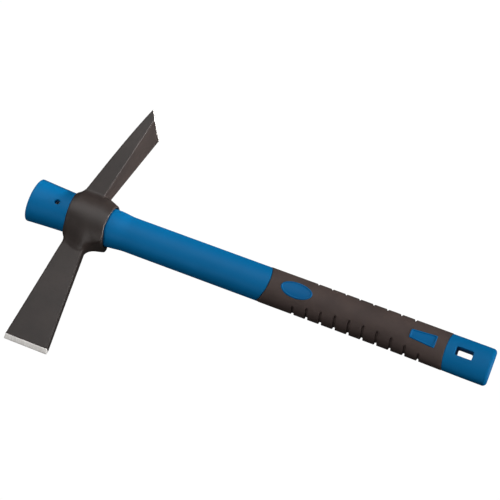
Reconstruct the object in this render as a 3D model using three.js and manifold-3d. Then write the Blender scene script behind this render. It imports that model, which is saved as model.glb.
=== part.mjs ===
// A small hand mattock: a forged head with an axe blade and an adze blade, wedged on the flared end of
// a fibreglass handle that has a moulded jacket and a soft grip.
//
// Millimetres. X runs along the handle from its flared end (x = 0) to the butt, Y points to the adze
// blade and Z across the blades. The tool lies on its side, with Z up.
import * as THREE from 'three';
import { mergeVertices } from 'three/addons/utils/BufferGeometryUtils.js';
import Module from 'manifold-3d';

const wasm = await Module();
wasm.setup();

// Driving dimensions
const GAP = 0.3;                   // clearance between touching pieces
const HANDLE_LENGTH = 380;
const FLARE_HALF = 18.3;           // half height of the flared end, along Y
const SEAT_START = 31.5;           // the length of handle that the eye sits on
const SEAT_END = 66.3;
const SHAFT_HALF = 14.5;
const BUTT_HALF = 15.25;
const BUTT_RADIUS = 3.2;           // rounded edge of the butt
const BUTT_DROOP = 0.5;            // the tail swells towards the axe side
const OVAL = 0.8;                  // depth over height of the handle's oval section
const TAIL_OVAL = 0.5;             // the same at the flattened tail
const TAIL_START = 292;            // the flattening starts here
const TAIL_END = 352;              // and is complete here

const CORE_LENGTH = 300;
const CORE_HALF_Y = 8.5;
const CORE_HALF_Z = 6.2;

const GRIP_START = 196.5;          // grip ends at the handle's edges, where Z is 0
const GRIP_END = 346;
const GRIP_START_BOW = 5.8;        // how far each end curves in on the broad sides
const GRIP_END_BOW = 2.9;
const GRIP_THICKNESS = 2.5;
const GRIP_PROUD = 0.25;           // the grip stands this much above the jacket

const GROOVE_COUNT = 10;
const GROOVE_PITCH = 11.17;
const GROOVE_FIRST = 226.5;        // at the handle's edge, where Z is 0
const GROOVE_BOW = 1.6;            // how far a groove curves towards the head on the broad sides
const GROOVE_WIDTH = 1.7;
const GROOVE_DEPTH = 1.9;
const GROOVE_REACH = 8.3;          // the middle grooves stop this far below the centre line
const GROOVE_RISE = 4;             // the first and last stop this much lower
const NOTCH_REACH = 12.2;          // the short notches on the adze side start at this height

const OVAL_BADGE_X = 224.2;
const OVAL_BADGE_LENGTH = 25;
const OVAL_BADGE_HEIGHT = 13;
const LABEL_START = 315;
const LABEL_END = 335.2;
const LABEL_START_Y = [-3.6, 3.6];
const LABEL_END_Y = [-4.5, 6.1];
const LABEL_CORNER = 1.2;
const BADGE_PROUD = 0.3;

const SLOT_X = [350.6, 363.9];     // hanging slot through the tail, at its front opening
const SLOT_Y = [-2.7, 3.9];
const SLOT_X_DRAFT = 0.16;         // how its front end and its adze side slope, per millimetre of depth
const SLOT_Y_DRAFT = 0.18;
const SLOT_CORNER = 1;

const PIN_X = 22.3;
const PIN_RADIUS = 2;
const PIN_BORE = 1.1;
const PIN_RECESS = 4;              // the pin's ends lie this far below the jacket

const RING_HALF_Y = 18.7;          // the eye ring, outside
const RING_HALF_Z = 16;
const RING_CREST = 21.4;           // the adze side of the ring rises to this at the blade's root
const RING_REAR_RIM = 17.9;        // and falls to this at its rim
const BOSS_HALF_Z = 8;
const ADZE_TIP = [60.7, 100.6];    // x and y of the adze's cutting edge
const ADZE_HALF_WIDTH = 18.8;
const AXE_EDGE_Y = -114;
const AXE_BEVEL_LENGTH = 3.4;
const AXE_HALF_THICKNESS = 3;
const EDGE_HALF_THICKNESS = 0.3;   // both cutting edges are left a little blunt

const AROUND = 32;                 // facets round an oval piece

// A geometry made a solid: its vertices are merged, and triangles that merging closed up are dropped
function solid(geometry) {
  const bare = geometry.clone();
  bare.deleteAttribute('normal');
  bare.deleteAttribute('uv');
  const merged = mergeVertices(bare, 1e-4);
  const index = merged.index.array;
  const triangles = [];
  for (let i = 0; i < index.length; i += 3) {
    const [a, b, c] = index.slice(i, i + 3);
    if (a !== b && b !== c && c !== a) triangles.push(a, b, c);
  }
  return new wasm.Manifold(new wasm.Mesh({
    numProp: 3,
    vertProperties: new Float32Array(merged.attributes.position.array),
    triVerts: new Uint32Array(triangles),
  }));
}

// A solid put back into a named, coloured mesh
function part(name, body, colour, roughness, metalness) {
  const mesh = body.getMesh();
  const geometry = new THREE.BufferGeometry();
  const corners = new Float32Array(mesh.vertProperties);
  geometry.setAttribute('position', new THREE.BufferAttribute(corners, 3));
  geometry.setIndex(Array.from(mesh.triVerts));
  geometry.computeVertexNormals();
  const material = new THREE.MeshStandardMaterial({ color: colour, roughness, metalness });
  const piece = new THREE.Mesh(geometry, material);
  piece.name = name;
  return piece;
}

function joined(bodies) {
  return bodies.reduce((all, body) => all.add(body));
}

// A profile of [x, half height] points turned round the X axis, then pressed to the section that
// shape(x, sine) gives: depth is Z over Y, lift moves the section along Y, shift moves it along X, and
// rise stretches its adze side. The sine is that of the angle away from the Y axis, so it is 1 in the
// middle of a broad side.
function ovalTurning(profile, shape) {
  const points = profile.map(([x, half]) => new THREE.Vector2(half, x));
  const geometry = new THREE.LatheGeometry(points, AROUND);
  const position = geometry.attributes.position;
  for (let i = 0; i < position.count; i += 1) {
    const x = position.getY(i);
    const y = position.getZ(i);
    const z = position.getX(i);
    const half = Math.hypot(y, z);
    const sine = half > 0 ? Math.abs(z) / half : 0;
    const { depth, lift = 0, shift = 0, rise = 1 } = shape(x, sine);
    position.setXYZ(i, x + shift, y * (y > 0 ? rise : 1) + lift, z * depth);
  }
  return solid(geometry);
}

// An outline of [u, v] points extruded by a depth, centred, and put in the plane that turn sets
function plate(shape, thickness, turn) {
  const settings = { depth: thickness, bevelEnabled: false, curveSegments: 12 };
  const geometry = new THREE.ExtrudeGeometry(shape, settings);
  geometry.translate(0, 0, -thickness / 2);
  if (turn) turn(geometry);
  return solid(geometry);
}

function outline(points) {
  return new THREE.Shape(points.map(([u, v]) => new THREE.Vector2(u, v)));
}

// Turns an outline drawn in (Z, Y) so that it is extruded along X
const alongX = (geometry) => geometry.rotateY(-Math.PI / 2);

// ---------------------------------------------------------------- handle section and profile

function smooth(from, to, x) {
  const t = Math.min(Math.max((x - from) / (to - from), 0), 1);
  return t * t * (3 - 2 * t);
}

// The handle's section at x
function handleSection(x) {
  return {
    depth: OVAL + (TAIL_OVAL - OVAL) * smooth(TAIL_START, TAIL_END, x),
    lift: -BUTT_DROOP * smooth(TAIL_START, HANDLE_LENGTH, x),
  };
}

// The jacket's half height: a flare that eases into the shaft behind the head, and a tail that swells
function halfAt(x) {
  const flare = FLARE_HALF - 0.0697 * x + 0.00046 * x ** 2;
  const swell = (BUTT_HALF - SHAFT_HALF) * smooth(TAIL_START, 368, x);
  return SHAFT_HALF + (flare - SHAFT_HALF) * (1 - smooth(70, 84, x)) + swell;
}

const jacketStations = [
  1, 10, 20, SEAT_START, 49, SEAT_END, 70, 73.5, 77, 80.5, 84, 140, GRIP_START, 245,
  TAIL_START, 307, 322, 337, TAIL_END, 366, HANDLE_LENGTH - BUTT_RADIUS,
];

function buttEdge() {
  const steps = 4;
  const points = [];
  for (let i = 1; i <= steps; i += 1) {
    const angle = (Math.PI / 2) * (i / steps);
    points.push([
      HANDLE_LENGTH - BUTT_RADIUS * (1 - Math.sin(angle)),
      BUTT_HALF - BUTT_RADIUS * (1 - Math.cos(angle)),
    ]);
  }
  return points;
}

// The x positions at which a piece that follows the jacket between two ends needs a section
function stations(from, to, count) {
  return Array.from({ length: count + 1 }, (_, i) => from + (to - from) * i / count);
}

// A closed band round the handle: from `inner` to `outer` above the jacket line. Its ends curve in
// on the broad sides as the grip's do, and `slack` makes it longer at both ends.
function gripBand(inner, outer, slack) {
  const from = GRIP_START - slack;
  const to = GRIP_END + slack;
  const xs = stations(from, to, 10);
  const over = xs.map((x) => [x, halfAt(x) + outer]);
  const under = xs.map((x) => [x, halfAt(x) + inner]).reverse();
  return ovalTurning([...under, ...over, under[0]], (x, sine) => {
    const share = (x - from) / (to - from);
    const shift = (GRIP_START_BOW * (1 - share) - GRIP_END_BOW * share) * sine;
    return { ...handleSection(x + shift), shift };
  });
}

// ---------------------------------------------------------------- windows for the badges

function ovalOutline(grow) {
  const shape = new THREE.Shape();
  shape.absellipse(
    OVAL_BADGE_X, 0, OVAL_BADGE_LENGTH / 2 + grow, OVAL_BADGE_HEIGHT / 2 + grow, 0, 2 * Math.PI);
  return shape;
}

// A rounded four-sided label that is higher at its butt end
function labelOutline(grow) {
  const shape = new THREE.Shape();
  const x0 = LABEL_START - grow;
  const x1 = LABEL_END + grow;
  const [low0, high0] = [LABEL_START_Y[0] - grow, LABEL_START_Y[1] + grow];
  const [low1, high1] = [LABEL_END_Y[0] - grow, LABEL_END_Y[1] + grow];
  const r = LABEL_CORNER;
  shape.moveTo(x0 + r, low0);
  shape.lineTo(x1 - r, low1);
  shape.quadraticCurveTo(x1, low1, x1, low1 + r);
  shape.lineTo(x1, high1 - r);
  shape.quadraticCurveTo(x1, high1, x1 - r, high1);
  shape.lineTo(x0 + r, high0);
  shape.quadraticCurveTo(x0, high0, x0, high0 - r);
  shape.lineTo(x0, low0 + r);
  shape.quadraticCurveTo(x0, low0, x0 + r, low0);
  return shape;
}

// An outline as a prism on one side of the handle: side is 1 for the front, -1 for the rear
function sidePrism(shape, side) {
  const height = 20;
  return plate(shape, height, (geometry) => geometry.translate(0, 0, side * (height / 2 + 3)));
}

// A badge fills its window from just above the jacket to a little above the grip
function badge(name, shape, side) {
  const band = gripBand(GAP - GRIP_THICKNESS, GRIP_PROUD + BADGE_PROUD, 0);
  return part(name, band.intersect(sidePrism(shape, side)), 0x04689a, 0.4, 0);
}

// ---------------------------------------------------------------- handle pieces

function coreShape(grow, from, to) {
  const points = [
    [from, 0],
    [from, CORE_HALF_Y + grow],
    [to, CORE_HALF_Y + grow],
    [to, 0],
  ];
  return ovalTurning(points, () => ({ depth: (CORE_HALF_Z + grow) / (CORE_HALF_Y + grow) }));
}

function crossHole(radius) {
  const geometry = new THREE.CylinderGeometry(radius, radius, 4 * RING_HALF_Z, 20);
  geometry.rotateX(Math.PI / 2);
  geometry.translate(PIN_X, 0, 0);
  return solid(geometry);
}

function slotPrism() {
  const [x0, x1] = SLOT_X;
  const [y0, y1] = SLOT_Y;
  const r = SLOT_CORNER;
  const shape = new THREE.Shape();
  shape.moveTo(x0 + r, y0);
  shape.absarc(x1 - r, y0 + r, r, -Math.PI / 2, 0);
  shape.absarc(x1 - r, y1 - r, r, 0, Math.PI / 2);
  shape.absarc(x0 + r, y1 - r, r, Math.PI / 2, Math.PI);
  shape.absarc(x0 + r, y0 + r, r, Math.PI, 1.5 * Math.PI);
  const reach = 30;
  const middle = (x0 + x1) / 2;
  return plate(shape, 2 * reach, (geometry) => {
    const position = geometry.attributes.position;
    for (let i = 0; i < position.count; i += 1) {
      const deep = BUTT_HALF * TAIL_OVAL - position.getZ(i);
      if (position.getX(i) < middle) position.setX(i, position.getX(i) + SLOT_X_DRAFT * deep);
      if (position.getY(i) > 0) position.setY(i, position.getY(i) + SLOT_Y_DRAFT * deep);
    }
  });
}

function handleSheath() {
  const line = jacketStations.map((x) => [x, halfAt(x)]);
  const profile = [[0, 0], [0, FLARE_HALF - 1], ...line, ...buttEdge(), [HANDLE_LENGTH, 0]];
  return ovalTurning(profile, handleSection)
    .subtract(coreShape(GAP, -1, CORE_LENGTH + GAP))
    .subtract(gripBand(-GRIP_THICKNESS, 4, GAP))
    .subtract(crossHole(PIN_RADIUS + GAP))
    .subtract(slotPrism());
}

function fibreglassCore() {
  return coreShape(0, 0, CORE_LENGTH).subtract(crossHole(PIN_RADIUS + GAP));
}

// A spring pin: a thin rolled sleeve with a slit along it
function rollPin() {
  const length = 2 * (OVAL * halfAt(PIN_X) - PIN_RECESS);
  const sleeve = new THREE.LatheGeometry([
    new THREE.Vector2(PIN_BORE, -length / 2),
    new THREE.Vector2(PIN_RADIUS, -length / 2),
    new THREE.Vector2(PIN_RADIUS, length / 2),
    new THREE.Vector2(PIN_BORE, length / 2),
    new THREE.Vector2(PIN_BORE, -length / 2),
  ], 20);
  const slit = new THREE.BoxGeometry(2 * PIN_RADIUS, length + 2, 0.7);
  slit.translate(PIN_RADIUS + 0.4, 0, 0);
  const pin = solid(sleeve).subtract(solid(slit));
  return pin.rotate([90, 0, 0]).translate([PIN_X, 0, 0]);
}

// Grooves wrap the axe side, reaching higher in the middle of the row. On the adze side all but the
// first and last come round again as short notches.
function gripGrooves() {
  const middle = (GROOVE_COUNT - 1) / 2;
  const grooves = [];
  for (let i = 0; i < GROOVE_COUNT; i += 1) {
    const x = GROOVE_FIRST + i * GROOVE_PITCH;
    const from = x - GROOVE_WIDTH / 2;
    const to = x + GROOVE_WIDTH / 2;
    const floor = halfAt(x) + GRIP_PROUD - GROOVE_DEPTH;
    const band = [[from, floor], [from, floor + 5], [to, floor + 5], [to, floor], [from, floor]];
    const top = -GROOVE_REACH - GROOVE_RISE * ((i - middle) / middle) ** 2;
    const wide = 2 * (GROOVE_BOW + GROOVE_WIDTH);
    const lower = new THREE.BoxGeometry(wide, 40, 60);
    lower.translate(x, top - 20, 0);
    const upper = new THREE.BoxGeometry(wide, 40, 60);
    upper.translate(x, NOTCH_REACH + 20, 0);
    const notched = i > 0 && i < GROOVE_COUNT - 1;
    const reach = notched ? solid(lower).add(solid(upper)) : solid(lower);
    const ring = ovalTurning(band, (along, sine) => {
      const shift = -GROOVE_BOW * sine;
      return { ...handleSection(along + shift), shift };
    });
    grooves.push(ring.intersect(reach));
  }
  return joined(grooves);
}

function rubberGrip() {
  const windows = joined([1, -1].flatMap((side) => [
    sidePrism(ovalOutline(GAP), side),
    sidePrism(labelOutline(GAP), side),
  ]));
  return gripBand(GAP - GRIP_THICKNESS, GRIP_PROUD, 0).subtract(windows).subtract(gripGrooves());
}

// ---------------------------------------------------------------- head

// An oval barrel with its front rim leaning with the blades. Its adze side rises from both rims to the
// root of the blade.
function eyeRing() {
  const ring = ovalTurning([
    [SEAT_START, 0],
    ...[SEAT_START, 34, 37, 47, 58, 62, SEAT_END].map((x) => [x, RING_HALF_Y]),
    [SEAT_END, 0],
  ], (x) => {
    const fromFront = 17 + 0.8 * (x - SEAT_START);
    const fromRear = RING_REAR_RIM + 0.42 * (SEAT_END - x);
    const crest = Math.min(fromFront, fromRear, RING_CREST);
    return { depth: RING_HALF_Z / RING_HALF_Y, rise: crest / RING_HALF_Y };
  });
  const ahead = outline([[20, -30], [35.6, -30], [29.7, 40], [20, 40]]);
  return ring.subtract(plate(ahead, 60));
}

// A flat-bottomed boss under the ring, from the axe blade past the rear rim
function boss() {
  const shape = outline([
    [45, -6],
    [45, -28],
    [52, -28],
    [54, -25.8],
    [57.5, -22.9],
    [68, -18.1],
    [68, -15],
    [66.3, -6],
  ]);
  return plate(shape, 2 * BOSS_HALF_Z);
}

// The oval hole tapers with the seat, so the head wedges when it is pulled towards the flared end
function eyeHole() {
  const room = GAP + 0.05;
  const points = [
    [SEAT_START - 2, 0],
    [SEAT_START - 2, halfAt(SEAT_START - 2) + room],
    [SEAT_START, halfAt(SEAT_START) + room],
    [49, halfAt(49) + room],
    [SEAT_END, halfAt(SEAT_END) + room],
    [SEAT_END + 6, halfAt(SEAT_END) + room],
    [SEAT_END + 6, 0],
  ];
  return ovalTurning(points, (x) => {
    const half = halfAt(Math.min(x, SEAT_END));
    return { depth: (OVAL * half + room) / (half + room) };
  });
}

// The axe blade: a fan outline in the XY plane, cut to a wedge whose last few millimetres are the
// ground bevel on both faces
function axeBlade() {
  const bevelStart = AXE_EDGE_Y + AXE_BEVEL_LENGTH;
  const fan = outline([
    [38.8, -8],
    [37.6, -22],
    [30.2, bevelStart],
    [30, AXE_EDGE_Y],
    [66, AXE_EDGE_Y],
    [65.6, bevelStart],
    [56.7, -33],
    [57, -27],
    [60, -22],
    [62, -8],
  ]);
  const halves = [
    [-8, 10.3],
    [-16, 8.9],
    [-23, 6.9],
    [-32, 4.6],
    [-52, 3.6],
    [bevelStart, AXE_HALF_THICKNESS],
    [AXE_EDGE_Y, EDGE_HALF_THICKNESS],
  ];
  const wedge = outline([
    ...halves.map(([y, half]) => [half, y]),
    ...halves.map(([y, half]) => [-half, y]).reverse(),
  ]);
  return plate(fan, 40).intersect(plate(wedge, 200, alongX));
}

// The adze blade: a leaning wedge in the XY plane with its ground bevel on the butt side, cut to a
// blade that widens evenly to the edge
function adzeBlade() {
  const [tipX, tipY] = ADZE_TIP;
  const profile = outline([
    [54.4, 8],
    [53, 20],
    [64.9, 93],
    [tipX + 2 * EDGE_HALF_THICKNESS, tipY],
    [tipX, tipY],
    [55.2, 86.5],
    [50.2, 70],
    [43.1, 44.5],
    [39.2, 29.7],
    [36, 20],
    [34.5, 8],
  ]);
  const widths = [
    [8, 10],
    [18, 8.6],
    [30, 9.8],
    [tipY, ADZE_HALF_WIDTH],
  ];
  const flare = outline([
    ...widths.map(([y, half]) => [half, y]),
    ...widths.map(([y, half]) => [-half, y]).reverse(),
  ]);
  return plate(profile, 60).intersect(plate(flare, 200, alongX));
}

function mattockHead() {
  return joined([eyeRing(), boss(), axeBlade(), adzeBlade()]).subtract(eyeHole());
}

// ---------------------------------------------------------------- the tool

const group = new THREE.Group();
group.add(part('mattock_head', mattockHead(), 0x3c3836, 0.5, 0.6));
group.add(part('handle_sheath', handleSheath(), 0x04689a, 0.45, 0));
group.add(part('fibreglass_core', fibreglassCore(), 0xd8cfa8, 0.6, 0));
group.add(part('rubber_grip', rubberGrip(), 0x4a3d39, 0.8, 0));
group.add(part('roll_pin', rollPin(), 0x6a6a6c, 0.4, 0.9));
[['front', 1], ['rear', -1]].forEach(([where, side]) => {
  group.add(badge(`oval_badge_${where}`, ovalOutline(0), side));
  group.add(badge(`label_badge_${where}`, labelOutline(0), side));
});

export default group;
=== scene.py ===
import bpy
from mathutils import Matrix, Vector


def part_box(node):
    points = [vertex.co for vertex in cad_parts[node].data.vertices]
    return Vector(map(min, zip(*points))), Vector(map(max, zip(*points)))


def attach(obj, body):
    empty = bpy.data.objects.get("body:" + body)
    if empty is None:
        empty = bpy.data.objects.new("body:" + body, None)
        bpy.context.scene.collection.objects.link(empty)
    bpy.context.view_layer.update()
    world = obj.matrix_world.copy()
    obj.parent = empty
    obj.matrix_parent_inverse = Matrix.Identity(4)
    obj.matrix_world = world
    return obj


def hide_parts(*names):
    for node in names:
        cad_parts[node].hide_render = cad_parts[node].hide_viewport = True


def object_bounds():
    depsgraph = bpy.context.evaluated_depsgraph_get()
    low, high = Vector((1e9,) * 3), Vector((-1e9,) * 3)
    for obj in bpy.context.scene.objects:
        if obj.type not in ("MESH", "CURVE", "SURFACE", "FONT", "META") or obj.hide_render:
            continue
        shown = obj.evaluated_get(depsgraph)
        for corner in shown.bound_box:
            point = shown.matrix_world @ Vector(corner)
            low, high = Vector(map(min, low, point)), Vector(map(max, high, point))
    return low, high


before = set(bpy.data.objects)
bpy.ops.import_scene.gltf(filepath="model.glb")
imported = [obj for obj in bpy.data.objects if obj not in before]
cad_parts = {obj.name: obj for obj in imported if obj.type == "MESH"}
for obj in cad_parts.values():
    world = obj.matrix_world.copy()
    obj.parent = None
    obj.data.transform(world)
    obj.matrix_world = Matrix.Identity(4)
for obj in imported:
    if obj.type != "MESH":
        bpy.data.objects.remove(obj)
cad_box = [list(corner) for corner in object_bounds()]

import math

import bmesh
import bpy
import numpy as np
from mathutils import Matrix, Vector

# The view and the studio.
# The tool lies on a white table, seen from above and a little from the axe side and the butt, through a
# portrait lens about a metre away. One broad soft light hangs over it, with weaker ones round it.
MM = 0.001


def linear(hex_colour):
    """An sRGB hex colour as linear red, green, blue and alpha, by the sRGB curve."""
    srgb = np.array([int(hex_colour[i:i + 2], 16) for i in (1, 3, 5)]) / 255
    line = np.where(srgb <= 0.04045, srgb / 12.92, ((srgb + 0.055) / 1.055) ** 2.4)
    return (*line, 1.0)


def add_node(tree, kind, links=(), **settings):
    """Adds one shader node: settings whose name is an attribute are set on the node, others on its inputs,
    and each link is (input, socket that feeds it)."""
    node = tree.nodes.new(kind)
    for name, value in settings.items():
        key = name.replace("_", " ")
        if hasattr(node, name):
            setattr(node, name, value)
        else:
            next(s for s in node.inputs if s.name.lower() == key.lower() and s.enabled).default_value = value
    for target, source in links:
        socket = node.inputs[target] if isinstance(target, (int, str)) else target
        tree.links.new(source, socket)
    return node


def new_material(name, **shader_settings):
    """A node material: returns it, its node tree and its Principled shader with the settings given."""
    material = bpy.data.materials.new(name)
    material.use_nodes = True
    shader = material.node_tree.nodes["Principled BSDF"]
    for key, value in shader_settings.items():
        shader.inputs[key.replace("_", " ")].default_value = value
    return material, material.node_tree, shader


CAMERA_TARGET = np.array([176.3, 22.5, 0.0]) * MM
CAMERA_DISTANCE = 980.4 * MM
CAMERA_YAW = math.radians(10.82)      # towards the butt
CAMERA_ROLL = math.radians(21.74)     # towards the axe side
CAMERA_TURN = math.radians(19.96)     # the handle slopes down to the right in the picture
LENS_MM, SENSOR_MM = 90.72, 36

back = np.array([
    math.sin(CAMERA_YAW),
    -math.cos(CAMERA_YAW) * math.sin(CAMERA_ROLL),
    math.cos(CAMERA_YAW) * math.cos(CAMERA_ROLL),
])
along_handle = np.array([1.0, 0.0, 0.0]) - back[0] * back
along_handle /= np.linalg.norm(along_handle)
across_handle = np.cross(back, along_handle)
right = math.cos(CAMERA_TURN) * along_handle + math.sin(CAMERA_TURN) * across_handle
up = -math.sin(CAMERA_TURN) * along_handle + math.cos(CAMERA_TURN) * across_handle

camera_data = bpy.data.cameras.new("camera")
camera_data.lens = LENS_MM
camera_data.sensor_width = SENSOR_MM
camera = bpy.data.objects.new("camera", camera_data)
bpy.context.scene.collection.objects.link(camera)
camera.matrix_world = Matrix.LocRotScale(
    Vector(CAMERA_TARGET + CAMERA_DISTANCE * back),
    Matrix(np.column_stack([right, up, back]).tolist()).to_quaternion(),
    None,
)
bpy.context.scene.camera = camera
bpy.context.scene.view_settings.view_transform = "Standard"

TABLE_DROP = 0.3 * MM
TABLE_REACH = 4.0                      # metres, from the origin to each side
table_mesh = bpy.data.meshes.new("table")
table_height = cad_box[0][2] - TABLE_DROP
table_mesh.from_pydata(
    [(-TABLE_REACH, -TABLE_REACH, table_height), (TABLE_REACH, -TABLE_REACH, table_height),
     (TABLE_REACH, TABLE_REACH, table_height), (-TABLE_REACH, TABLE_REACH, table_height)],
    [], [(0, 1, 2, 3)])
table = bpy.data.objects.new("table", table_mesh)
bpy.context.scene.collection.objects.link(table)
table_paint, table_tree, table_shader = new_material(
    "white_light_table", Base_Color=(0, 0, 0, 1), Roughness=1.0, Specular_IOR_Level=0.0,
    Emission_Color=(1, 1, 1, 1))
ray = add_node(table_tree, "ShaderNodeLightPath")
glow = add_node(table_tree, "ShaderNodeMapRange", [("Value", ray.outputs["Is Camera Ray"])])
glow.inputs["To Min"].default_value, glow.inputs["To Max"].default_value = 0.06, 1.02
table_tree.links.new(glow.outputs["Result"], table_shader.inputs["Emission Strength"])
table_mesh.materials.append(table_paint)

world = bpy.data.worlds.new("studio")
world.use_nodes = True
world.node_tree.nodes["Background"].inputs["Color"].default_value = (1, 1, 1, 1)
world.node_tree.nodes["Background"].inputs["Strength"].default_value = 0.11
bpy.context.scene.world = world


def soft_light(name, place, aim, size, watts, spread=180):
    """A square area light at a place, turned to shine at another, in a cone of the spread in degrees."""
    data = bpy.data.lights.new(name, "AREA")
    data.size = size
    data.energy = watts
    data.spread = math.radians(spread)
    light = bpy.data.objects.new(name, data)
    bpy.context.scene.collection.objects.link(light)
    light.location = place
    light.rotation_mode = "QUATERNION"
    light.rotation_quaternion = (Vector(aim) - Vector(place)).to_track_quat("-Z", "Y")


soft_light("overhead", (-0.08, 0.6, 1.25), (0.16, 0.0, 0.0), 0.9, 13.5)
soft_light("butt_side", (2.3, 0.4, 0.3), (0.1, 0.05, 0.0), 0.8, 48)
soft_light("adze_kicker", (0.9, 0.36, 0.05), (0.06, 0.066, 0.0), 0.12, 0.15, 14)
soft_light("axe_side", (-0.05, -0.85, 0.95), (0.03, -0.06, 0.0), 0.5, 0.3, 40)


# The steel head.
# One drop forging: an oval eye, an axe blade in line with the handle and an adze blade across it. It is
# lacquered dark grey all over, and then the two cutting edges are ground bright.
EYE_FROM, EYE_TO = 33.1, 66.3          # the eye ring's ends along the handle, at its middle
EYE_LEAN = 0.085                       # the end towards the flare leans with the blades
EYE_HALF_Y, EYE_HALF_Z = 18.7, 16.0
AXE_EDGE_Y, AXE_HALF = -114.0, 3.0
ADZE_TIP = (60.9, 100.6)
EDGE_HALF = 0.3
AXE_BEVEL_LENGTH = 3.4
ADZE_BEVEL_NORMAL = (0.872, 0.489)
SEAT_CLEARANCE = 0.35
MERGE_DISTANCE = 0.03


def ease(from_x, to_x, x):
    """0 before from_x, 1 after to_x, and 3t squared minus 2t cubed between them."""
    t = np.clip((x - from_x) / (to_x - from_x), 0, 1)
    return t * t * (3 - 2 * t)


def oval(y, z, half_y, half_z):
    """Signed distance to an oval, nearly: with k the length of (y, z) over the half sizes, and g the length
    of (y, z) over their squares, it is k times (k - 1) over g."""
    k = np.hypot(y / half_y, z / half_z)
    g = np.hypot(y / half_y ** 2, z / half_z ** 2)
    return k * (k - 1) / np.maximum(g, 1e-9)


def common(a, b, radius):
    """What is inside both of two distance fields, with the outer corner rounded to the radius."""
    inside = np.minimum(np.maximum(a, b), -radius)
    return inside + np.hypot(np.maximum(a + radius, 0), np.maximum(b + radius, 0))


def welded(a, b, radius):
    """What is inside either of two distance fields, with the inner corner filled to the radius."""
    outside = np.maximum(np.minimum(a, b), radius)
    return outside - np.hypot(np.maximum(radius - a, 0), np.maximum(radius - b, 0))


def facet(x, y, point, along, side):
    """Signed distance to the plane through a point that runs along a direction in X and Y; side is 1 if the
    solid lies to the right of the direction, and -1 if it lies to the left."""
    dx, dy = np.array(along) / np.hypot(*along)
    return side * ((y - point[1]) * dx - (x - point[0]) * dy)


def skin(name, field, xs, ys, zs):
    """A mesh of the surface where a distance field is 0 (naive surface nets). Each grid cell that the
    surface passes through gets one vertex, at the mean of the crossings on its 12 edges. Each grid edge
    with a crossing gets one face, between its 4 cells. The vertices then step along the field's gradient
    until they lie on the surface."""
    grid = np.meshgrid(xs, ys, zs, indexing="ij")
    value = field(*grid)
    shape = np.array(value.shape)
    cells = tuple(shape - 1)
    total = np.zeros(cells + (3,))
    count = np.zeros(cells)
    crossings = []
    for axis in range(3):
        low = [slice(None)] * 3
        high = [slice(None)] * 3
        low[axis], high[axis] = slice(None, -1), slice(1, None)
        low, high = tuple(low), tuple(high)
        a, b = value[low], value[high]
        crossed = (a < 0) != (b < 0)
        share = np.where(crossed, a / np.where(crossed, a - b, 1), 0)
        point = np.stack([g[low] + share * (g[high] - g[low]) for g in grid], -1)
        crossings.append((crossed, a < 0))
        others = [i for i in range(3) if i != axis]
        for shift_a in (0, 1):
            for shift_b in (0, 1):
                window = [slice(None)] * 3
                window[others[0]] = slice(shift_a, shift_a + cells[others[0]])
                window[others[1]] = slice(shift_b, shift_b + cells[others[1]])
                window = tuple(window)
                total += np.where(crossed[window][..., None], point[window], 0)
                count += crossed[window]
    used = count > 0
    number = np.full(cells, -1)
    number[used] = np.arange(used.sum())
    vertices = total[used] / count[used][:, None]
    faces = []
    for axis in range(3):
        crossed, inside_low = crossings[axis]
        first, second = (axis + 1) % 3, (axis + 2) % 3
        i = np.argwhere(crossed)
        i = i[(i[:, first] > 0) & (i[:, first] < shape[first] - 1)
              & (i[:, second] > 0) & (i[:, second] < shape[second] - 1)]
        step_a, step_b = np.eye(3, dtype=int)[first], np.eye(3, dtype=int)[second]
        around = [i - step_a - step_b, i - step_b, i, i - step_a]
        quads = np.stack([number[tuple(corner.T)] for corner in around], -1)
        flip = ~inside_low[tuple(i.T)]
        quads[flip] = quads[flip][:, ::-1]
        faces.append(quads)
    faces = np.concatenate(faces)
    nudge = 0.02
    for _ in range(4):
        here = field(*vertices.T)
        slope = np.stack([
            (field(*(vertices + nudge * axis).T) - field(*(vertices - nudge * axis).T)) / (2 * nudge)
            for axis in np.eye(3)], -1)
        steep = np.maximum((slope ** 2).sum(-1), 0.05)
        step = here[:, None] * slope / steep[:, None]
        vertices = vertices - np.clip(step, -0.4, 0.4)
    piece = make_mesh(name, vertices, faces.tolist())
    merge_close(piece, MERGE_DISTANCE)
    return piece


def merge_close(piece, distance):
    """Merges the vertices that lie closer than a distance in millimetres, splits faces of more than four
    corners into triangles, and drops the faces that have closed up."""
    mesh = bmesh.new()
    mesh.from_mesh(piece.data)
    bmesh.ops.remove_doubles(mesh, verts=mesh.verts[:], dist=distance * MM)
    bmesh.ops.triangulate(mesh, faces=[face for face in mesh.faces if len(face.verts) > 4])
    bmesh.ops.dissolve_degenerate(mesh, edges=mesh.edges[:], dist=distance * MM)
    mesh.to_mesh(piece.data)
    mesh.free()


def make_mesh(name, vertices, faces):
    """A smooth-shaded mesh object in the shared frame, from points in millimetres and the corner numbers of
    its faces."""
    mesh = bpy.data.meshes.new(name)
    mesh.from_pydata((vertices * MM).tolist(), [], faces)
    mesh.update()
    mesh.shade_smooth()
    piece = bpy.data.objects.new(name, mesh)
    bpy.context.scene.collection.objects.link(piece)
    return piece


# The handle's outline, which the eye's seat shares
FLARE_HALF, SHAFT_HALF, TAIL_HALF = 18.3, 14.5, 15.25
SHAFT_DEPTH, TAIL_FLATTENING = 0.8, 0.3   # depth over height, and how much of it the tail loses
TAIL_FROM = 292.0
HANDLE_LENGTH = 380.0


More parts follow.
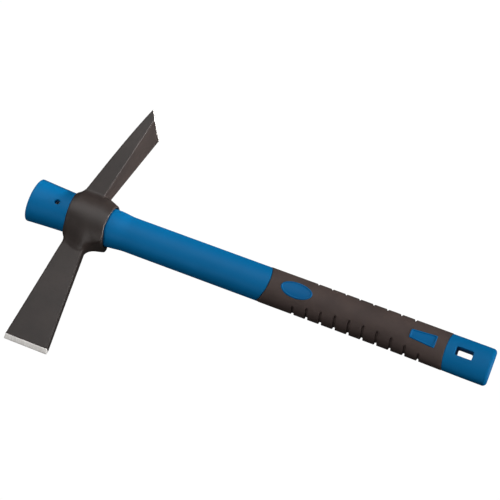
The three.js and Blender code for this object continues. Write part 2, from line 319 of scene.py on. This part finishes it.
def handle_half(x):
    """Half height: a flare of 18.3 - 0.0697 x + 0.00046 x squared eases into the 14.5 shaft between
    70 and 84, and the tail swells to 15.25."""
    flare = FLARE_HALF - 0.0697 * x + 0.00046 * x ** 2
    swell = (TAIL_HALF - SHAFT_HALF) * ease(TAIL_FROM, 368, x)
    return SHAFT_HALF + (flare - SHAFT_HALF) * (1 - ease(70, 84, x)) + swell


def axe_blade(x, y, z):
    """A fan between two leaning sides, with faces that draw in from the eye to 6 mm, and a ground bevel."""
    thickening = 1.5 * np.exp(np.minimum(y + 30, 24) / 22) * ease(-109, -60, y)
    side_a = facet(x, y, (37.8, -20), (-7.5, -90), -1)
    side_b = facet(x, y, (56.5, -32), (9.1, -78), 1)
    faces = (np.abs(z) - AXE_HALF - thickening) * 0.97
    bevel = (np.abs(z) - EDGE_HALF) * AXE_BEVEL_LENGTH - (y - AXE_EDGE_Y) * (AXE_HALF - EDGE_HALF)
    bevel = bevel / math.hypot(AXE_BEVEL_LENGTH, AXE_HALF - EDGE_HALF)
    blade = common(common(side_a, side_b, 0.7), faces, 0.5 + 1.8 * ease(-40, -14, y))
    blade = np.maximum(np.maximum(blade, bevel), AXE_EDGE_Y - y)
    return np.maximum(blade, y + 6)


def adze_blade(x, y, z):
    """A leaning wedge that widens evenly across Z, with a ground bevel on the butt side of its tip."""
    t = y - 29.7
    away = (39.3 + 0.262 * t + 6e-6 * t ** 3 - x) * 0.96
    toward = facet(x, y, (64.9, 93), (12.0, 73.0), -1)
    bevel = facet(x, y, ADZE_TIP, (4.26, -7.6), 1)
    sides = (np.abs(z) - (5.9 + 0.128 * y)) * 0.99
    wedge = common(common(away, toward, 0.7), sides, 0.5)
    wedge = np.maximum(np.maximum(wedge, bevel), y - ADZE_TIP[1])
    return np.maximum(wedge, 6 - y)


def eye_ring(x, y, z):
    """An oval barrel. On the adze side it rises from both rims to the root of the blade; on the axe side a
    flat underside runs from the blade's butt side out to the rim, which stands 1.8 mm further out there."""
    rise = np.minimum(17.0 + 0.8 * (x - 31.2), 17.9 + 0.4 * (EYE_TO - x))
    drop = EYE_HALF_Y + 5.0 * ease(36, 54, x)
    barrel = oval(y, z, np.where(y > 0, np.clip(rise, 16, 21.4), drop), EYE_HALF_Z)
    rims = np.maximum(EYE_FROM - EYE_LEAN * y - x, x - EYE_TO - 1.8 * ease(-6, -16, y))
    underside = facet(x, y, (69, -17.6), (9.0, 4.1), -1)
    return common(common(barrel, rims, 0.9), underside, 1.2)


def forging(x, y, z):
    """Signed distance to the head: the blades welded to the eye ring by forged fillets, less the eye."""
    head = welded(eye_ring(x, y, z), axe_blade(x, y, z), 8)
    head = welded(head, adze_blade(x, y, z), 2.5)
    room = SEAT_CLEARANCE + 0.6 * ease(EYE_TO - 3, EYE_TO, x)
    seat = handle_half(np.clip(x, 20, EYE_TO))
    hole = oval(y, z, seat + room, SHAFT_DEPTH * seat + room)
    return common(head, -hole, 0.5)


head_low, head_high = (np.array(corner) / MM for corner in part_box("mattock_head"))
HEAD_GRID = 0.6
head_axes = [np.arange(low - 2, high + 2, HEAD_GRID) for low, high in zip(head_low, head_high)]
head = skin("forged_head", forging, *head_axes)
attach(head, "head")
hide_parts("mattock_head")


def lacquered_forging():
    """Dark grey lacquer on forged steel, satin, with the low soft bumps of die scale beneath it. The two
    cutting bevels are bare ground steel, with fine scratches that run back from the edge."""
    material, tree, shader = new_material("lacquered_and_ground_forged_steel", Specular_IOR_Level=0.3)
    place = add_node(tree, "ShaderNodeTexCoord").outputs["Object"]
    scale = add_node(tree, "ShaderNodeTexNoise", [("Vector", place)], Scale=150, Detail=4, Roughness=0.5)
    patches = add_node(tree, "ShaderNodeTexNoise", [("Vector", place)], Scale=45, Detail=3)
    grit = add_node(tree, "ShaderNodeTexNoise", [("Vector", place)], Scale=1400, Detail=2)
    tone = add_node(tree, "ShaderNodeValToRGB", [("Fac", patches.outputs["Fac"])])
    tone.color_ramp.elements[0].position, tone.color_ramp.elements[1].position = 0.3, 0.7
    tone.color_ramp.elements[0].color = linear("#27211f")
    tone.color_ramp.elements[1].color = linear("#312926")

    stretch = add_node(tree, "ShaderNodeMapping", [("Vector", place)])
    stretch.inputs["Scale"].default_value = (1, 0.06, 0.06)
    scratches = add_node(
        tree, "ShaderNodeTexNoise", [("Vector", stretch.outputs["Vector"])], Scale=2400, Detail=3)
    bright = add_node(tree, "ShaderNodeValToRGB", [("Fac", scratches.outputs["Fac"])])
    bright.color_ramp.elements[0].position, bright.color_ramp.elements[1].position = 0.35, 0.65
    bright.color_ramp.elements[0].color = linear("#eae6e1")
    bright.color_ramp.elements[1].color = linear("#fffcf8")

    wave = add_node(tree, "ShaderNodeMath", [(0, patches.outputs["Fac"])], operation="MULTIPLY")
    wave.inputs[1].default_value = 0.8 * MM
    past_edges = []
    adze_bevel_starts = ADZE_BEVEL_NORMAL[0] * ADZE_TIP[0] + ADZE_BEVEL_NORMAL[1] * ADZE_TIP[1]
    for normal, starts in (
            ((0, -1, 0), 114.4 - AXE_BEVEL_LENGTH), ((*ADZE_BEVEL_NORMAL, 0), adze_bevel_starts)):
        along = add_node(tree, "ShaderNodeVectorMath", [(0, place)], operation="DOT_PRODUCT")
        along.inputs[1].default_value = normal
        wavy = add_node(
            tree, "ShaderNodeMath", [(0, along.outputs["Value"]), (1, wave.outputs[0])], operation="ADD")
        past = add_node(tree, "ShaderNodeMath", [(0, wavy.outputs[0])], operation="GREATER_THAN")
        past.inputs[1].default_value = starts * MM
        past_edges.append(past.outputs[0])
    either = add_node(
        tree, "ShaderNodeMath", [(0, past_edges[0]), (1, past_edges[1])], operation="MAXIMUM")
    ground = either.outputs[0]

    colour = add_node(tree, "ShaderNodeMixRGB", [
        ("Fac", ground), ("Color1", tone.outputs["Color"]), ("Color2", bright.outputs["Color"])])
    dull = add_node(tree, "ShaderNodeMapRange", [("Value", ground)])
    dull.inputs["To Min"].default_value, dull.inputs["To Max"].default_value = 0.45, 0.34
    metal = add_node(tree, "ShaderNodeMath", [(0, ground)], operation="MULTIPLY")
    metal.inputs[1].default_value = 0.25
    lumps = add_node(
        tree, "ShaderNodeBump", [("Height", scale.outputs["Fac"])], Strength=0.2, Distance=0.0005)
    grain = add_node(
        tree, "ShaderNodeBump", [("Height", grit.outputs["Fac"]), ("Normal", lumps.outputs["Normal"])],
        Strength=0.15, Distance=0.0001)
    tree.links.new(colour.outputs["Color"], shader.inputs["Base Color"])
    tree.links.new(dull.outputs["Result"], shader.inputs["Roughness"])
    tree.links.new(metal.outputs[0], shader.inputs["Metallic"])
    tree.links.new(grain.outputs["Normal"], shader.inputs["Normal"])
    return material


head.data.materials.append(lacquered_forging())


# The blue jacket.
# Polypropylene moulded round the fibreglass rod in one shot: flared at the head end, waisted along the
# shaft, recessed for the grip, and flattened at the tail with a hanging slot through it.
GRIP_FROM, GRIP_TO = 196.5, 346.0
GRIP_FROM_BOW, GRIP_TO_BOW = 5.8, 2.9
GRIP_THICKNESS = 2.5
ROD_HALF_Y, ROD_HALF_Z, ROD_LENGTH = 8.5, 6.2, 300.0
SLOT_FROM, SLOT_TO, SLOT_BELOW, SLOT_ABOVE, SLOT_CORNER = 350.6, 363.9, -2.7, 3.9, 1.0
SLOT_LIP = 0.55
PIN_X, PIN_RADIUS = 22.3, 2.0
BUTT_RADIUS = 3.2


def handle_depth(x):
    """Depth over height of the oval section, which flattens towards the tail."""
    return SHAFT_DEPTH - TAIL_FLATTENING * ease(TAIL_FROM, 352, x)


def handle_lift(x):
    """The tail's section sinks half a millimetre towards the axe side."""
    return -0.5 * ease(TAIL_FROM, HANDLE_LENGTH, x)


def jacket(x, y, z):
    """Signed distance to the jacket: the handle's oval between its two end planes, less the recess for the
    grip, the rod's bore, the pin's hole and the hanging slot, whose walls slope with the depth."""
    half, depth, lift = handle_half(x), handle_depth(x), handle_lift(x)
    body = oval(y - lift, z, half, half * depth)
    body = common(body, x - HANDLE_LENGTH, BUTT_RADIUS)
    body = common(body, -x, 1.0)
    sine = np.abs(z / depth) / np.maximum(np.hypot(y - lift, z / depth), 1e-6)
    recess = np.maximum(GRIP_FROM + GRIP_FROM_BOW * sine - x, x - GRIP_TO + GRIP_TO_BOW * sine)
    floor = half - GRIP_THICKNESS
    recess = np.maximum(recess, -oval(y - lift, z, floor, floor * depth))
    body = common(body, -recess, 0.35)
    bore = np.maximum(oval(y, z, ROD_HALF_Y + 0.1, ROD_HALF_Z + 0.1), x - ROD_LENGTH - 0.1)
    body = np.maximum(body, -bore)
    body = common(body, PIN_RADIUS + 0.1 - np.hypot(x - PIN_X, y), 0.6)
    deep = np.maximum(7.6 - z, 0)
    dx = np.maximum(SLOT_FROM + 0.16 * deep - x, x - SLOT_TO) + SLOT_CORNER
    dy = np.maximum(SLOT_BELOW - 0.02 * deep - y, y - SLOT_ABOVE - 0.18 * deep) + SLOT_CORNER
    slot = np.hypot(np.maximum(dx, 0), np.maximum(dy, 0)) + np.minimum(np.maximum(dx, dy), 0) - SLOT_CORNER
    return common(body, -slot, SLOT_LIP)


def stations(*runs):
    """Grid lines from runs of (from, to, step), joined end to end."""
    return np.unique(np.concatenate([np.append(np.arange(a, b, step), b) for a, b, step in runs]).round(4))


jacket_x = stations(
    (-1.2, 3, 0.5), (3, 18, 1.5), (18, 27, 0.5), (27, 66, 2), (66, 90, 1.2), (90, 192, 3),
    (192, 204, 0.5), (204, 336, 4), (336, 381.2, 0.55))
sheath_low, sheath_high = (np.array(corner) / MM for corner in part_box("handle_sheath"))
sheath = skin(
    "blue_jacket", jacket, jacket_x,
    np.arange(sheath_low[1] - 1, sheath_high[1] + 1, 0.6),
    np.arange(sheath_low[2] - 1, sheath_high[2] + 1, 0.6))
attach(sheath, "handle")
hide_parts("handle_sheath")


def moulded_polypropylene(name, colour, deep_colour, roughness):
    """Dyed polypropylene from a spark-eroded mould: an even colour, a satin skin and a very fine grain."""
    material, tree, shader = new_material(name, Roughness=roughness, Specular_IOR_Level=0.08)
    place = add_node(tree, "ShaderNodeTexCoord").outputs["Object"]
    grain = add_node(tree, "ShaderNodeTexNoise", [("Vector", place)], Scale=2200, Detail=2)
    clouds = add_node(tree, "ShaderNodeTexNoise", [("Vector", place)], Scale=30, Detail=4)
    tone = add_node(tree, "ShaderNodeValToRGB", [("Fac", clouds.outputs["Fac"])])
    tone.color_ramp.elements[0].color = linear(deep_colour)
    tone.color_ramp.elements[1].color = linear(colour)
    bump = add_node(
        tree, "ShaderNodeBump", [("Height", grain.outputs["Fac"])], Strength=0.12, Distance=0.0001)
    tree.links.new(tone.outputs["Color"], shader.inputs["Base Color"])
    tree.links.new(bump.outputs["Normal"], shader.inputs["Normal"])
    return material


jacket_plastic = moulded_polypropylene("moulded_polypropylene", "#00659b", "#005e91", 0.5)
sheath.data.materials.append(jacket_plastic)


# The fibreglass rod.
# A pultruded glass and polyester rod of oval section down the middle of the jacket. Its sawn end shows in
# the flared end of the handle, flush with the plastic.


def shell(name, rows, start=None, end=None):
    """A closed surface through rows of points, each row a closed loop of the same number of points. The ends
    close to a point each, or where none is given the last row joins the first."""
    rows = np.asarray(rows)
    count, around = rows.shape[:2]
    number = np.arange(count * around).reshape(count, around)
    points = [rows.reshape(-1, 3)]
    beside = np.roll(number, -1, 1)
    if start is None:
        following, beside_following = np.roll(number, -1, 0), np.roll(beside, -1, 0)
        faces = [np.stack([number, beside, beside_following, following], -1).reshape(-1, 4).tolist()]
    else:
        faces = [np.stack([number[:-1], beside[:-1], beside[1:], number[1:]], -1).reshape(-1, 4).tolist()]
        first, last = count * around, count * around + 1
        points += [np.array([start]), np.array([end])]
        faces.append([[first, b, a] for a, b in zip(number[0].tolist(), beside[0].tolist())])
        faces.append([[last, a, b] for a, b in zip(number[-1].tolist(), beside[-1].tolist())])
    piece = make_mesh(name, np.concatenate(points), [face for group in faces for face in group])
    face_out(piece)
    return piece


def face_out(piece):
    """Turns every face of a closed mesh round if the volume that they enclose is negative."""
    mesh = piece.data
    corners = np.empty(len(mesh.vertices) * 3)
    mesh.vertices.foreach_get("co", corners)
    corners = corners.reshape(-1, 3)
    mesh.calc_loop_triangles()
    triangles = np.empty(len(mesh.loop_triangles) * 3, int)
    mesh.loop_triangles.foreach_get("vertices", triangles)
    a, b, c = (corners[triangles.reshape(-1, 3)[:, i]] for i in range(3))
    if (a * np.cross(b, c)).sum() < 0:
        mesh.flip_normals()


def oval_rows(x, half_y, half_z, lift=0.0, around=96):
    """One oval loop for each x: y is half_y times the cosine plus the lift, z is half_z times the sine."""
    turn = np.linspace(0, 2 * np.pi, around, endpoint=False)
    x, half_y, half_z, lift = (np.broadcast_to(v, np.shape(x))[:, None] for v in (x, half_y, half_z, lift))
    return np.stack([x + 0 * turn, lift + half_y * np.cos(turn), half_z * np.sin(turn)], -1)


def sharpen(piece, degrees):
    """Marks the edges sharper than an angle, so that they stay crisp under smooth shading."""
    piece.data.set_sharp_from_angle(angle=math.radians(degrees))


ROD_EDGE = 0.25
rod_x = np.array([0, 0, ROD_EDGE, 4, 100, 200, ROD_LENGTH - ROD_EDGE, ROD_LENGTH, ROD_LENGTH])
rod_shrink = np.array([3, ROD_EDGE, 0, 0, 0, 0, 0, ROD_EDGE, 3])
rod = shell(
    "fibreglass_rod", oval_rows(rod_x, ROD_HALF_Y - rod_shrink, ROD_HALF_Z - rod_shrink),
    (0, 0, 0), (ROD_LENGTH, 0, 0))
sharpen(rod, 40)
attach(rod, "handle")
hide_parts("fibreglass_core")


def pultruded_glass():
    """Glass fibre in resin: straw yellow with pale streaks along the fibres, which end as specks where the
    rod is sawn across."""
    material, tree, shader = new_material("pultruded_fibreglass", Roughness=0.6)
    place = add_node(tree, "ShaderNodeTexCoord").outputs["Object"]
    stretch = add_node(tree, "ShaderNodeMapping", [("Vector", place)])
    stretch.inputs["Scale"].default_value = (0.02, 1, 1)
    fibres = add_node(
        tree, "ShaderNodeTexNoise", [("Vector", stretch.outputs["Vector"])], Scale=2600, Detail=3)
    tone = add_node(tree, "ShaderNodeValToRGB", [("Fac", fibres.outputs["Fac"])])
    tone.color_ramp.elements[0].position, tone.color_ramp.elements[1].position = 0.35, 0.65
    tone.color_ramp.elements[0].color = linear("#b9a877")
    tone.color_ramp.elements[1].color = linear("#e6ddb8")
    bump = add_node(
        tree, "ShaderNodeBump", [("Height", fibres.outputs["Fac"])], Strength=0.4, Distance=0.0001)
    tree.links.new(tone.outputs["Color"], shader.inputs["Base Color"])
    tree.links.new(bump.outputs["Normal"], shader.inputs["Normal"])
    return material


rod.data.materials.append(pultruded_glass())


# The spring pin.
# A sleeve rolled from spring steel strip with an open slit, driven across the flared end so that the jacket
# can't slip on the rod. Its ends lie a little way down their hole.
PIN_WALL, PIN_SLIT, PIN_RECESS = 0.85, 0.75, 4.0


def rolled_pin():
    """The wall's rectangle, with broken corners, carried round the pin from one side of the slit to the
    other."""
    half_length = handle_depth(PIN_X) * handle_half(PIN_X) - PIN_RECESS
    corner = 0.15
    outer, inner = PIN_RADIUS, PIN_RADIUS - PIN_WALL
    section = np.array([
        (outer, -half_length + corner), (outer, half_length - corner),
        (outer - corner, half_length), (inner + corner, half_length),
        (inner, half_length - corner), (inner, -half_length + corner),
        (inner + corner, -half_length), (outer - corner, -half_length)])
    half_slit = math.asin(PIN_SLIT / 2 / PIN_RADIUS)
    turn = np.linspace(half_slit, 2 * np.pi - half_slit, 48)[:, None]
    radius, height = section[:, 0], section[:, 1]
    rows = np.stack([PIN_X + radius * np.cos(turn), radius * np.sin(turn), height + 0 * turn], -1)
    return rows, rows[0].mean(0), rows[-1].mean(0)


pin = shell("spring_pin", *rolled_pin())
sharpen(pin, 35)
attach(pin, "handle")
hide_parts("roll_pin")


def spring_steel():
    """Tempered strip steel, oiled: dark, with faint drawing lines along the pin."""
    material, tree, shader = new_material(
        "tempered_spring_steel", Base_Color=linear("#8c8b8a"), Metallic=1.0, Roughness=0.38)
    place = add_node(tree, "ShaderNodeTexCoord").outputs["Object"]
    stretch = add_node(tree, "ShaderNodeMapping", [("Vector", place)])
    stretch.inputs["Scale"].default_value = (1, 1, 0.03)
    lines = add_node(
        tree, "ShaderNodeTexNoise", [("Vector", stretch.outputs["Vector"])], Scale=3000, Detail=2)
    bump = add_node(
        tree, "ShaderNodeBump", [("Height", lines.outputs["Fac"])], Strength=0.3, Distance=0.00005)
    tree.links.new(bump.outputs["Normal"], shader.inputs["Normal"])
    return material


pin.data.materials.append(spring_steel())


# The grip.
# Soft thermoplastic rubber moulded into the jacket's recess, so that it ends nearly flush. Ten grooves wrap
# its axe side and come round again as short notches on the adze side, and windows show the badges.
GRIP_PROUD, GRIP_EDGE, GRIP_SEAT_GAP = 0.25, 0.7, 0.12
GROOVE_COUNT, GROOVE_PITCH, GROOVE_FIRST, GROOVE_BOW = 10, 11.17, 226.5, 1.6
GROOVE_DEPTH = 1.9
GROOVE_TOP, GROOVE_FALL = -8.3, 4.0
NOTCH_FOOT = 12.2
AROUND = 200
groove_x = GROOVE_FIRST + GROOVE_PITCH * np.arange(GROOVE_COUNT)


def grip_rows():
    """Loops along the grip's outer skin, round its end and back along its seat. Each row's x shifts towards
    the grip's middle with the sine of the angle, which bows its two ends, and a little less the grooves. A
    groove lowers the skin by its depth near the groove's centre line, whose ends are rounded."""
    near_groove = np.array([0, 0.3, 0.55, 0.7, 0.85, 1.0, 1.15, 1.35, 1.8, 2.6, 3.6, 4.6])
    near_groove = np.concatenate([-near_groove[:0:-1], near_groove])
    edge = np.linspace(0, np.pi / 2, 5)
    rim_x, rim_drop = GRIP_EDGE * (1 - np.sin(edge))[::-1], GRIP_EDGE * (1 - np.cos(edge))[::-1]
    first, last = GRIP_FROM + GRIP_SEAT_GAP, GRIP_TO - GRIP_SEAT_GAP
    skin_x = np.concatenate([
        np.arange(first + 2, GROOVE_FIRST - 5, 1.5), (groove_x[:, None] + near_groove).ravel(),
        np.arange(groove_x[-1] + 5.8, last - 2, 1.4)])
    seat_x = np.linspace(last, first, 14)
    nominal = np.concatenate([first + rim_x, skin_x, last - rim_x[::-1], seat_x])
    offset = np.concatenate([
        GRIP_PROUD - rim_drop, 0 * skin_x + GRIP_PROUD, GRIP_PROUD - rim_drop[::-1],
        0 * seat_x - GRIP_THICKNESS + GRIP_SEAT_GAP])
    turn = np.linspace(0, 2 * np.pi, AROUND, endpoint=False)
    nominal, offset = nominal[:, None], offset[:, None]
    sine = np.abs(np.sin(turn))
    bow = GRIP_FROM_BOW - (GRIP_FROM_BOW + GROOVE_BOW) * ease(GRIP_FROM, groove_x[0] - 4, nominal)
    bow = bow - (GRIP_TO_BOW - GROOVE_BOW) * ease(groove_x[-1] + 4, GRIP_TO, nominal)
    x = nominal + bow * sine
    half, depth, lift = handle_half(x), handle_depth(x), handle_lift(x)
    y, z = (half + offset) * np.cos(turn), (half + offset) * depth * np.sin(turn)
    middle = (GROOVE_COUNT - 1) / 2
    groove = np.zeros_like(x)
    for index, centre in enumerate(groove_x):
        top = GROOVE_TOP - GROOVE_FALL * ((index - middle) / middle) ** 2
        notched = 0 < index < GROOVE_COUNT - 1
        for foot, side in ((top, -1), (NOTCH_FOOT, 1))[:1 + notched]:
            foot_z = depth * np.sqrt(np.maximum((half + GRIP_PROUD) ** 2 - foot ** 2, 0))
            beyond = np.where(side * (y - foot) < 0, np.hypot(y - foot, np.abs(z) - foot_z), 0)
            groove = np.maximum(groove, 1 - ease(0.5, 1.15, np.hypot(x - centre + GROOVE_BOW * sine, beyond)))
    offset = offset - GROOVE_DEPTH * groove * (offset > 0)
    y, z = (half + offset) * np.cos(turn) + lift, (half + offset) * depth * np.sin(turn)
    return np.stack([x, y, z], -1)


grip = shell("rubber_grip_skin", grip_rows())


# The badges.
# Blank raised plates of the jacket's own blue plastic, which stand through windows in the rubber: an oval
# one at the front of the grip and a four-sided one near the tail, the same on both sides.
OVAL_X, OVAL_HALF_X, OVAL_HALF_Y = 224.2, 12.5, 6.5
LABEL_CORNERS = [(315.0, -3.6), (335.2, -4.5), (335.2, 6.1), (315.0, 3.6)]
LABEL_ROUND = 1.3
WINDOW_GAP = 0.08
PANEL = -0.1                  # the panel's height above the rubber, inside a rim that stands 0.44 proud


def oval_outline(inset):
    """A closed oval drawn in by the inset."""
    turn = np.linspace(0, 2 * np.pi, 96, endpoint=False)
    return np.stack([OVAL_X + (OVAL_HALF_X - inset) * np.cos(turn), (OVAL_HALF_Y - inset) * np.sin(turn)], -1)


def label_outline(inset):
    """The four-sided outline drawn in by the inset, each corner replaced by a quadratic curve."""
    corners = np.array(LABEL_CORNERS)
    centre = corners.mean(0)
    corners = corners - np.sign(corners - centre) * inset
    size = max(LABEL_ROUND - 0.4 * inset, 0.3)
    t = np.linspace(0, 1, 9)[:, None]
    curves = []
    for i, corner in enumerate(corners):
        before, after = (corners[i - 1] - corner), (corners[(i + 1) % 4] - corner)
        p, q = corner + size * before / np.hypot(*before), corner + size * after / np.hypot(*after)
        curves.append((1 - t) ** 2 * p + 2 * t * (1 - t) * corner + t ** 2 * q)
        straight = np.linspace(0, 1, 17)[1:-1, None]
        next_corner = corners[(i + 1) % 4] - size * after / np.hypot(*after)
        curves.append(q + straight * (next_corner - q))
    return np.concatenate(curves)


def grip_height(xy):
    """Height of the grip's skin above the blade plane."""
    x, y = xy[..., 0], xy[..., 1]
    return handle_depth(x) * np.sqrt((handle_half(x) + GRIP_PROUD) ** 2 - (y - handle_lift(x)) ** 2)


def badge(name, outline, side, node):
    """Rings of the outline, drawn in step by step from the foot up the skirt, over the bevelled rim and down
    into the panel, which then closes to its centre."""
    steps = [
        (0.0, -2.0), (0.0, 0.0), (0.1, 0.22), (0.25, 0.38), (0.45, 0.44), (0.75, 0.44), (0.95, 0.38),
        (1.1, 0.12), (1.25, -0.06), (1.45, PANEL), (2.1, PANEL)]
    loops = [(outline(inset), height) for inset, height in steps]
    centre = outline(0.0).mean(0)
    panel = loops[-1][0]
    loops += [(centre + (panel - centre) * share, PANEL) for share in (0.75, 0.5, 0.25)]
    foot = loops[0][0]
    loops = [(centre + (foot - centre) * share, -2.0) for share in (0.3, 0.65)] + loops
    rows = np.stack([
        np.concatenate([xy, (side * (grip_height(xy) + height))[:, None]], -1) for xy, height in loops])
    top = grip_height(centre)
    plate = shell(name, rows, (*centre, side * (top - 2.0)), (*centre, side * (top + PANEL)))
    sharpen(plate, 50)
    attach(plate, "handle")
    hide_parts(node)
    return plate


def cut(piece, cutter):
    """Takes a cutter out of a piece with an exact Boolean, and deletes the cutter."""
    modifier = piece.modifiers.new("cut", "BOOLEAN")
    modifier.operation, modifier.solver, modifier.object = "DIFFERENCE", "EXACT", cutter
    bpy.context.view_layer.update()
    finished = bpy.data.meshes.new_from_object(piece.evaluated_get(bpy.context.evaluated_depsgraph_get()))
    piece.modifiers.clear()
    piece.data = finished
    bpy.data.objects.remove(cutter)


badge_plastic = moulded_polypropylene("semi_gloss_polypropylene", "#005e94", "#00578b", 0.5)
for side, where in ((1, "front"), (-1, "rear")):
    for kind, outline in (("oval", oval_outline), ("label", label_outline)):
        window = outline(-WINDOW_GAP)
        rows = [np.concatenate([window, np.full((len(window), 1), z)], -1) for z in (side * 4.0, side * 20.0)]
        middle = window.mean(0)
        cut(grip, shell("window", rows, (*middle, side * 4.0), (*middle, side * 20.0)))
        plate = badge(f"{kind}_plate_{where}", outline, side, f"{kind}_badge_{where}")
        plate.data.materials.append(badge_plastic)

merge_close(grip, MERGE_DISTANCE)
sharpen(grip, 50)
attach(grip, "handle")
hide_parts("rubber_grip")


def moulded_rubber():
    """Filled thermoplastic rubber: a warm dark grey, dull, with a fine stippled skin and a dry bloom that
    lightens it a little in patches."""
    material, tree, shader = new_material(
        "moulded_thermoplastic_rubber", Roughness=0.7, Specular_IOR_Level=0.3)
    place = add_node(tree, "ShaderNodeTexCoord").outputs["Object"]
    stipple = add_node(tree, "ShaderNodeTexNoise", [("Vector", place)], Scale=1500, Detail=3)
    bloom = add_node(tree, "ShaderNodeTexNoise", [("Vector", place)], Scale=70, Detail=4)
    tone = add_node(tree, "ShaderNodeValToRGB", [("Fac", bloom.outputs["Fac"])])
    tone.color_ramp.elements[0].position, tone.color_ramp.elements[1].position = 0.3, 0.75
    tone.color_ramp.elements[0].color = linear("#3e3330")
    tone.color_ramp.elements[1].color = linear("#493c38")
    bump = add_node(
        tree, "ShaderNodeBump", [("Height", stipple.outputs["Fac"])], Strength=0.3, Distance=0.00015)
    tree.links.new(tone.outputs["Color"], shader.inputs["Base Color"])
    tree.links.new(bump.outputs["Normal"], shader.inputs["Normal"])
    return material


grip.data.materials.clear()
grip.data.materials.append(moulded_rubber())
